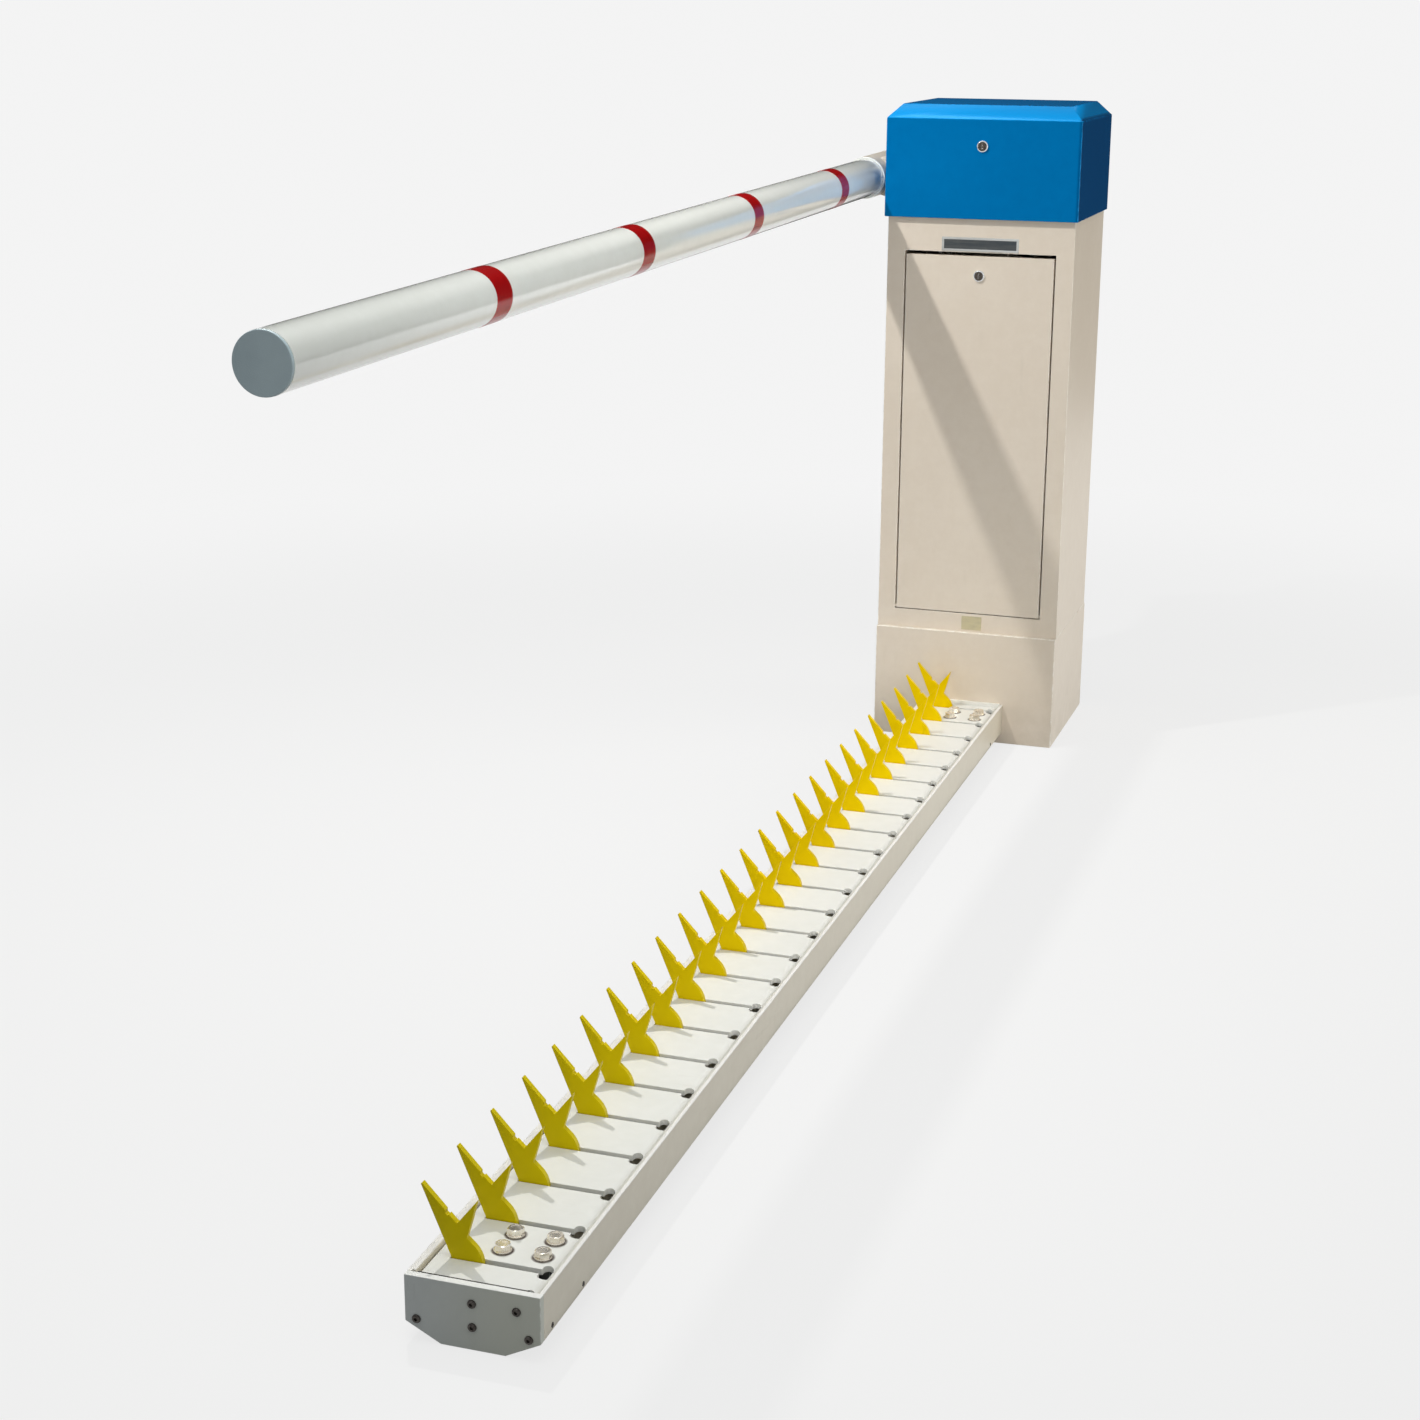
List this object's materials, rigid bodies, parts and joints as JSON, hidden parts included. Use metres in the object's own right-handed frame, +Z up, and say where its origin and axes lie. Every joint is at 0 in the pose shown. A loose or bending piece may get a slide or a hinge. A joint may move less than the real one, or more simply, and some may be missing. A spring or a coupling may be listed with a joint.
{
  "type": "tyre spike strip barrier",
  "caption": "Driven tyre spike strip with raised fangs in a slotted floor channel, joined to a boom barrier cabinet whose lid, door, boom and locks move.",
  "frame": {"origin": "middle of the plinth's base on the floor, at the centre of the four floor bolts", "axes": "+X from the cabinet along the spike strip and the lowered boom, +Z up, boom on the -Y side"},
  "size_m": [2.8523, 0.503, 1.274],
  "materials": {
    "cream_paint": "cream powder coat, slight orange peel",
    "blue_paint": "blue powder coat, semi gloss",
    "zinc_steel": "zinc plated",
    "grey_cast": "grey painted casting",
    "motor_paint": "grey machine paint",
    "grey_plastic": "moulded light grey",
    "plain_plate": "blank plate, satin",
    "beige_paint": "warm grey powder coat",
    "white_paint": "off-white powder coat",
    "raw_steel": "machined steel",
    "end_steel": "grey steel plate with faint rolling marks",
    "dark_screw": "darkened screw",
    "boom_white": "white gloss lacquer on aluminium tube",
    "slate_plastic": "slate grey moulded cap",
    "red_film": "red reflective film",
    "spring_steel": "oiled spring wire",
    "chrome": "polished",
    "spike_yellow": "yellow powder coat with worn edges"
  },
  "bodies": {
    "base": {"plinth": "cream_paint", "cabinet_body": "cream_paint", "chassis": "zinc_steel", "pillow_blocks": "grey_cast", "gearbox": "grey_cast", "motor": "motor_paint", "control_box": "grey_plastic", "base_gearbox": "grey_cast", "hex_bolts": "zinc_steel", "blank_plates": "plain_plate", "strip_channel": "beige_paint", "strip_cover": "white_paint", "cover_blocks": "raw_steel", "end_frame": "raw_steel", "end_plate": "end_steel", "joint_plate": "white_paint", "shaft_bearings": "raw_steel", "strip_screws": "dark_screw", "balance_spring": "spring_steel"},
    "boom": {"boom_shaft": "raw_steel", "boom_lever": "raw_steel", "boom_holder": "cream_paint", "holder_bolts": "zinc_steel", "boom_tube": "boom_white", "boom_cap": "slate_plastic", "boom_bands": "red_film"},
    "crank": {"drive_crank": "raw_steel"},
    "rod": {"drive_rod": "zinc_steel"},
    "torque": {"torque_shaft": "raw_steel"},
    "spike_row": {"spike_shaft": "raw_steel", "spike_01": "spike_yellow", "spike_02": "spike_yellow", "spike_03": "spike_yellow", "spike_04": "spike_yellow", "spike_05": "spike_yellow", "spike_06": "spike_yellow", "spike_07": "spike_yellow", "spike_08": "spike_yellow", "spike_09": "spike_yellow", "spike_10": "spike_yellow", "spike_11": "spike_yellow", "spike_12": "spike_yellow", "spike_13": "spike_yellow", "spike_14": "spike_yellow", "spike_15": "spike_yellow", "spike_16": "spike_yellow", "spike_17": "spike_yellow", "spike_18": "spike_yellow", "spike_19": "spike_yellow", "spike_20": "spike_yellow", "spike_21": "spike_yellow", "spike_22": "spike_yellow", "spike_23": "spike_yellow", "spike_24": "spike_yellow", "spike_25": "spike_yellow"},
    "lid": {"cabinet_lid": "blue_paint"},
    "lid_cam": {"lid_lock": "chrome"},
    "door": {"cabinet_door": "cream_paint"},
    "door_cam": {"door_lock": "chrome"}
  },
  "joints": [
    {"name": "boom_lift", "type": "hinge", "parent": "base", "child": "boom", "pos_m": [0, -0.1, 1.127], "axis": [0, -1, 0], "range_deg": [0, 90], "deforming": ["balance_spring"]},
    {"name": "crank_turn", "type": "hinge", "parent": "base", "child": "crank", "pos_m": [0, 0.019, 0.85], "axis": [0, -1, 0], "range_deg": [0, 90]},
    {"name": "rod_swing", "type": "hinge", "parent": "crank", "child": "rod", "pos_m": [0.04243, 0.032, 0.80757], "axis": [0, -1, 0], "range_deg": [-90, 0]},
    {"name": "torque_turn", "type": "hinge", "parent": "base", "child": "torque", "pos_m": [-0.065, -0.044, 0.45], "axis": [0, 0, 1], "range_deg": [0, 108]},
    {"name": "spike_turn", "type": "hinge", "parent": "base", "child": "spike_row", "pos_m": [1.4, -0.044, 0.06105], "axis": [-1, 0, 0], "range_deg": [0, 108]},
    {"name": "lid_hinge", "type": "hinge", "parent": "base", "child": "lid", "pos_m": [-0.171, 0, 1.05], "axis": [0, -1, 0], "range_deg": [0, 100]},
    {"name": "lid_lock_turn", "type": "hinge", "parent": "lid", "child": "lid_cam", "pos_m": [0.145, 0, 1.197], "axis": [1, 0, 0], "range_deg": [0, 90]},
    {"name": "door_hinge", "type": "hinge", "parent": "base", "child": "door", "pos_m": [0.157, 0, 0.271], "axis": [0, 1, 0], "range_deg": [0, 90]},
    {"name": "door_lock_turn", "type": "hinge", "parent": "door", "child": "door_cam", "pos_m": [0.155, 0, 0.948], "axis": [-1, 0, 0], "range_deg": [0, 90]}
  ],
  "couplings": [
    {"joint": "crank_turn", "follows": "boom_lift", "ratio": 1},
    {"joint": "rod_swing", "follows": "boom_lift", "ratio": -1},
    {"joint": "torque_turn", "follows": "boom_lift", "ratio": 1.2},
    {"joint": "spike_turn", "follows": "boom_lift", "ratio": 1.2}
  ]
}
